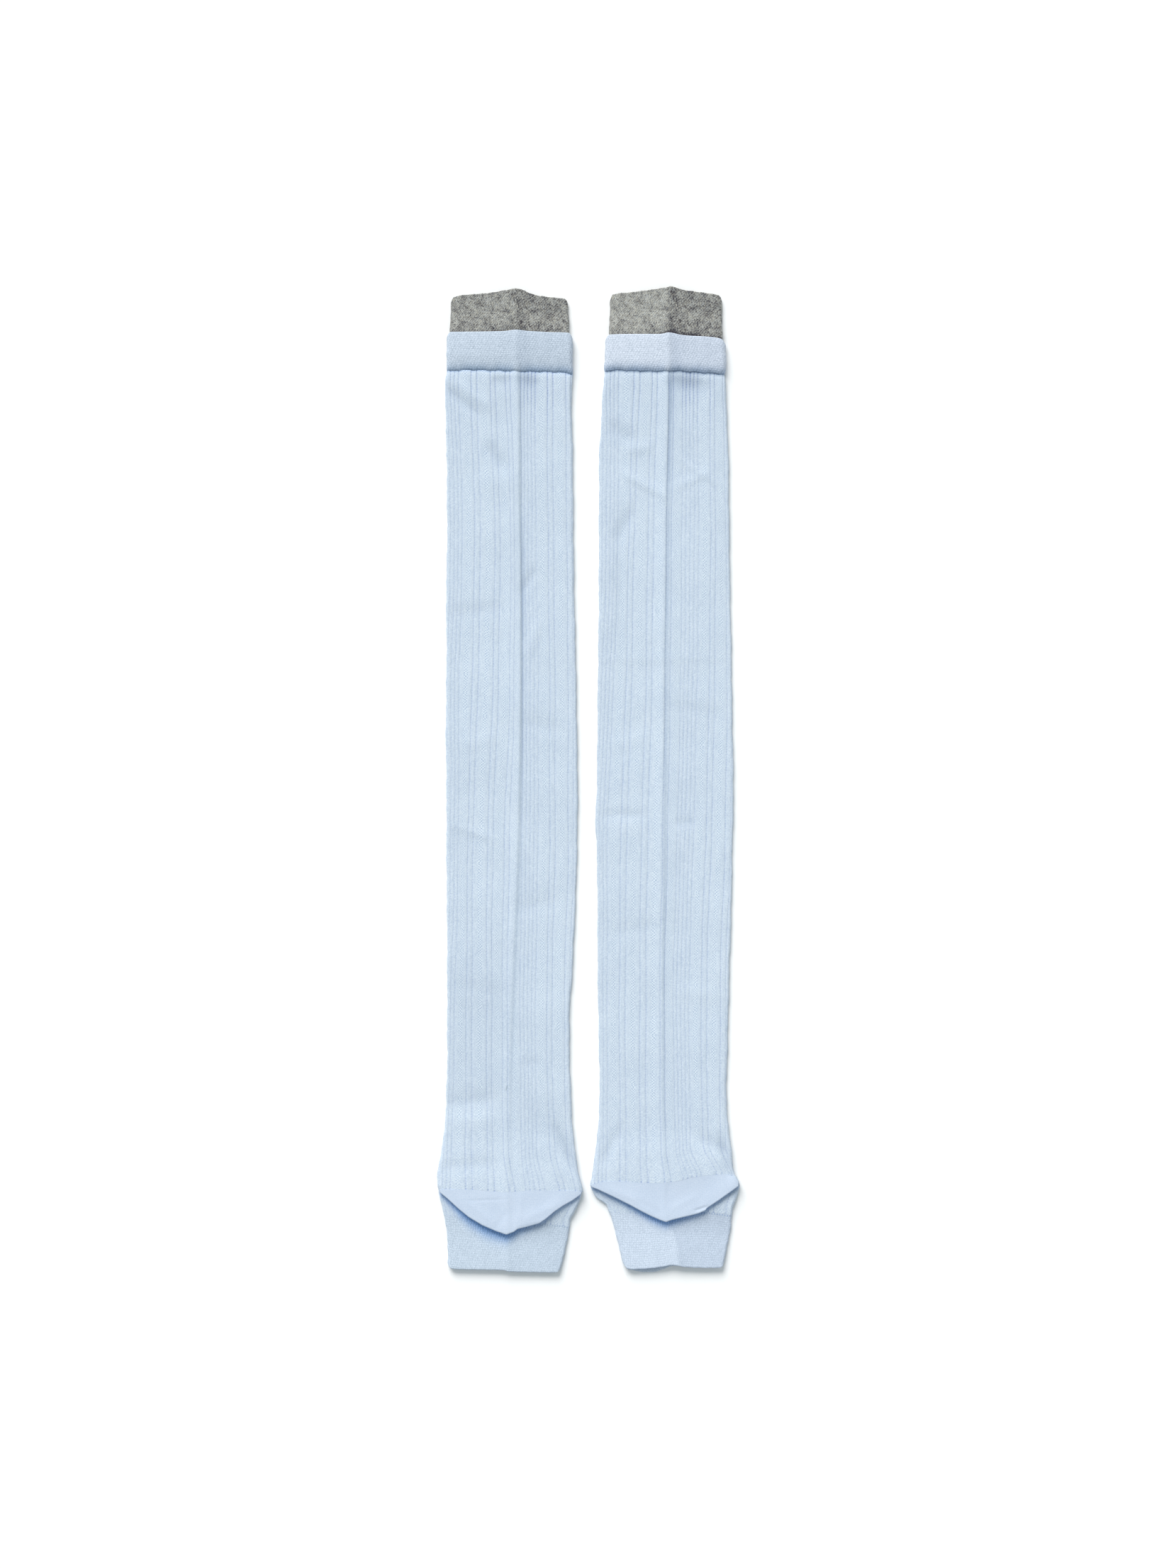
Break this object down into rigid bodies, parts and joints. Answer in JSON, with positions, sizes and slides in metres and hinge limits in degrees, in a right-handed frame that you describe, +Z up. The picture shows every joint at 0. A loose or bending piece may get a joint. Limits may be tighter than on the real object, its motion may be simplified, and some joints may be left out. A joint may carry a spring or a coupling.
{
  "type": "pair of open-toe knee socks",
  "caption": "Light blue rib-knit knee socks with open toes, laid flat side by side, each with a grey inner cuff, a welt band and a plain heel pocket folded into a flap.",
  "frame": {"origin": "on the surface the socks lie on, under the middle of the pair's box", "axes": "+X across the pair to the picture's right, +Y up the legs towards the cuffs, +Z up, away from the surface"},
  "size_m": [0.1707, 0.5558, 0.0059],
  "materials": {
    "inner_cuff": "matt grey marl elastic knit",
    "top_band": "matt light blue welt, fine mesh-like knit",
    "rib_knit": "matt light blue uneven rib knit",
    "heel": "matt light blue fine plain knit",
    "toe_band": "matt light blue welt, fine mesh-like knit"
  },
  "bodies": {
    "root": {"left_inner_cuff": "inner_cuff", "left_top_band": "top_band", "left_leg": "rib_knit", "left_heel": "heel", "left_foot": "rib_knit", "left_toe_band": "toe_band", "right_inner_cuff": "inner_cuff", "right_top_band": "top_band", "right_leg": "rib_knit", "right_heel": "heel", "right_foot": "rib_knit", "right_toe_band": "toe_band"}
  },
  "joints": []
}
